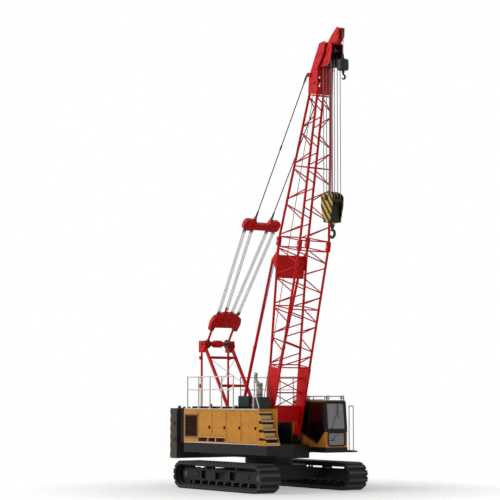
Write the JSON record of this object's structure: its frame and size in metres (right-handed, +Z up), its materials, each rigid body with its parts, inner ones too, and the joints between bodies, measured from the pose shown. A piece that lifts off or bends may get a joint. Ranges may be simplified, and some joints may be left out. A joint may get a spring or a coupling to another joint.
{
  "type": "crawler crane",
  "caption": "Crawler crane with a slewing upper, cab, luffing lattice boom, gantry, luffing ropes, winches, counterweight and plumb-hanging hooks on two tracks.",
  "frame": {"origin": "on the ground, on the slewing axis, midway between the tracks", "axes": "+X forward, +Y to the machine's left, +Z up"},
  "size_m": [8.4249, 4.3, 15.0458],
  "materials": {
    "red_paint": "gloss red paint",
    "yellow_paint": "ochre yellow paint",
    "grey_paint": "dark grey paint",
    "black_paint": "black paint",
    "track_steel": "black cast steel",
    "rail_paint": "pale grey paint",
    "dark_steel": "dark steel",
    "rope_steel": "greased wire rope",
    "block_yellow": "yellow paint with black bands",
    "block_black": "black paint",
    "cab_glass": "tinted safety glass",
    "seat_trim": "dark woven seat trim"
  },
  "bodies": {
    "undercarriage": {"tracks": "track_steel", "side_frames": "black_paint", "track_rollers": "track_steel", "idlers": "track_steel", "sprockets": "track_steel", "travel_drives": "black_paint", "carbody": "black_paint", "slewing_ring": "track_steel"},
    "upper": {"slewing_frame": "grey_paint", "boom_foot_brackets": "grey_paint", "boom_foot_pins": "dark_steel", "counterweight_lower": "grey_paint", "counterweight_middle": "grey_paint", "counterweight_upper": "grey_paint", "rear_frame": "black_paint", "housing_right": "yellow_paint", "housing_left": "yellow_paint", "side_grilles": "black_paint", "engine_block": "black_paint", "front_stair": "yellow_paint", "handrails": "rail_paint", "walkway_pads": "black_paint", "deck_boxes": "black_paint", "exhaust_stack": "rail_paint", "winch_stands": "black_paint", "gantry_legs": "red_paint", "gantry_struts": "red_paint", "gantry_head": "red_paint", "cab_shell": "yellow_paint", "cab_glass": "cab_glass", "cab_fittings": "black_paint", "cab_seat": "seat_trim"},
    "cab_door": {"cab_door": "yellow_paint", "cab_door_glass": "cab_glass"},
    "main_winch": {"main_winch": "dark_steel"},
    "aux_winch": {"aux_winch": "dark_steel"},
    "luffing_winch": {"luffing_winch": "dark_steel"},
    "boom": {"boom_base": "red_paint", "boom_base_lacing": "red_paint", "boom_tip": "red_paint", "boom_tip_lacing": "red_paint", "boom_panel": "red_paint", "backstops": "red_paint", "boom_head": "red_paint", "head_sheaves": "dark_steel", "boom_nose": "red_paint"},
    "bail": {"lower_bail": "red_paint"},
    "spreader": {"spreader": "red_paint", "pendants": "rope_steel"},
    "main_fall": {"hoist_falls": "rope_steel", "hook_block": "block_yellow"},
    "main_hook": {"main_hook": "dark_steel"},
    "aux_fall": {"aux_rope": "rope_steel", "aux_hook": "block_black"},
    "door_right_rear": {"door_right_rear": "yellow_paint"},
    "door_right_middle": {"door_right_middle": "yellow_paint"},
    "door_right_front": {"door_right_front": "yellow_paint"},
    "door_right_fore": {"door_right_fore": "yellow_paint"},
    "door_left_rear": {"door_left_rear": "yellow_paint"},
    "door_left_front": {"door_left_front": "yellow_paint"}
  },
  "joints": [
    {"name": "slew", "type": "hinge", "parent": "undercarriage", "child": "upper", "pos_m": [0, 0, 1.05], "axis": [0, 0, 1], "continuous": true},
    {"name": "boom_luff", "type": "hinge", "parent": "upper", "child": "boom", "pos_m": [0.75, 0, 1.7], "axis": [0, -1, 0], "range_deg": [-49, 0]},
    {"name": "bail_swing", "type": "hinge", "parent": "upper", "child": "bail", "pos_m": [-3.2, 0, 4.95], "axis": [0, -1, 0], "range_deg": [-43.66, 0.2]},
    {"name": "luffing_rope", "type": "slide", "parent": "bail", "child": "spreader", "axis": [0.5639, 0, 0.8258], "range_m": [-0.01, 4.09]},
    {"name": "main_fall_plumb", "type": "hinge", "parent": "boom", "child": "main_fall", "pos_m": [3.56838, 0, 13.99818], "axis": [0, -1, 0], "range_deg": [-0.2, 49.2]},
    {"name": "aux_fall_plumb", "type": "hinge", "parent": "boom", "child": "aux_fall", "pos_m": [4.01088, 0, 14.85957], "axis": [0, -1, 0], "range_deg": [-0.2, 49.2]},
    {"name": "hook_swivel", "type": "hinge", "parent": "main_fall", "child": "main_hook", "pos_m": [3.56838, 0, 8.62], "axis": [0, 0, 1], "continuous": true},
    {"name": "cab_door_hinge", "type": "hinge", "parent": "upper", "child": "cab_door", "pos_m": [0.866, 1.6, 2.18], "axis": [0, 0, 1], "range_deg": [0, 90]},
    {"name": "luffing_winch_spin", "type": "hinge", "parent": "upper", "child": "luffing_winch", "pos_m": [-2.3, 0, 2.06], "axis": [0, 1, 0], "continuous": true},
    {"name": "aux_winch_spin", "type": "hinge", "parent": "upper", "child": "aux_winch", "pos_m": [-1.42, 0, 2.06], "axis": [0, 1, 0], "continuous": true},
    {"name": "main_winch_spin", "type": "hinge", "parent": "upper", "child": "main_winch", "pos_m": [-0.42, 0, 2.06], "axis": [0, 1, 0], "continuous": true},
    {"name": "door_right_rear_hinge", "type": "hinge", "parent": "upper", "child": "door_right_rear", "pos_m": [-2.057, -1.5, 2.19], "axis": [0, 0, -1], "range_deg": [0, 110]},
    {"name": "door_right_middle_hinge", "type": "hinge", "parent": "upper", "child": "door_right_middle", "pos_m": [-1.207, -1.5, 2.19], "axis": [0, 0, -1], "range_deg": [0, 110]},
    {"name": "door_right_front_hinge", "type": "hinge", "parent": "upper", "child": "door_right_front", "pos_m": [-0.337, -1.5, 2.085], "axis": [0, 0, -1], "range_deg": [0, 110]},
    {"name": "door_right_fore_hinge", "type": "hinge", "parent": "upper", "child": "door_right_fore", "pos_m": [0.543, -1.5, 2.085], "axis": [0, 0, -1], "range_deg": [0, 110]},
    {"name": "door_left_rear_hinge", "type": "hinge", "parent": "upper", "child": "door_left_rear", "pos_m": [-2.057, 1.5, 2.085], "axis": [0, 0, 1], "range_deg": [0, 110]},
    {"name": "door_left_front_hinge", "type": "hinge", "parent": "upper", "child": "door_left_front", "pos_m": [-0.887, 1.5, 2.085], "axis": [0, 0, 1], "range_deg": [0, 110]}
  ],
  "couplings": [
    {"joint": "bail_swing", "follows": "boom_luff", "ratio": 0.88702},
    {"joint": "luffing_rope", "follows": "boom_luff", "m_per_rad": -4.7592},
    {"joint": "main_fall_plumb", "follows": "boom_luff", "ratio": -1},
    {"joint": "aux_fall_plumb", "follows": "boom_luff", "ratio": -1}
  ]
}
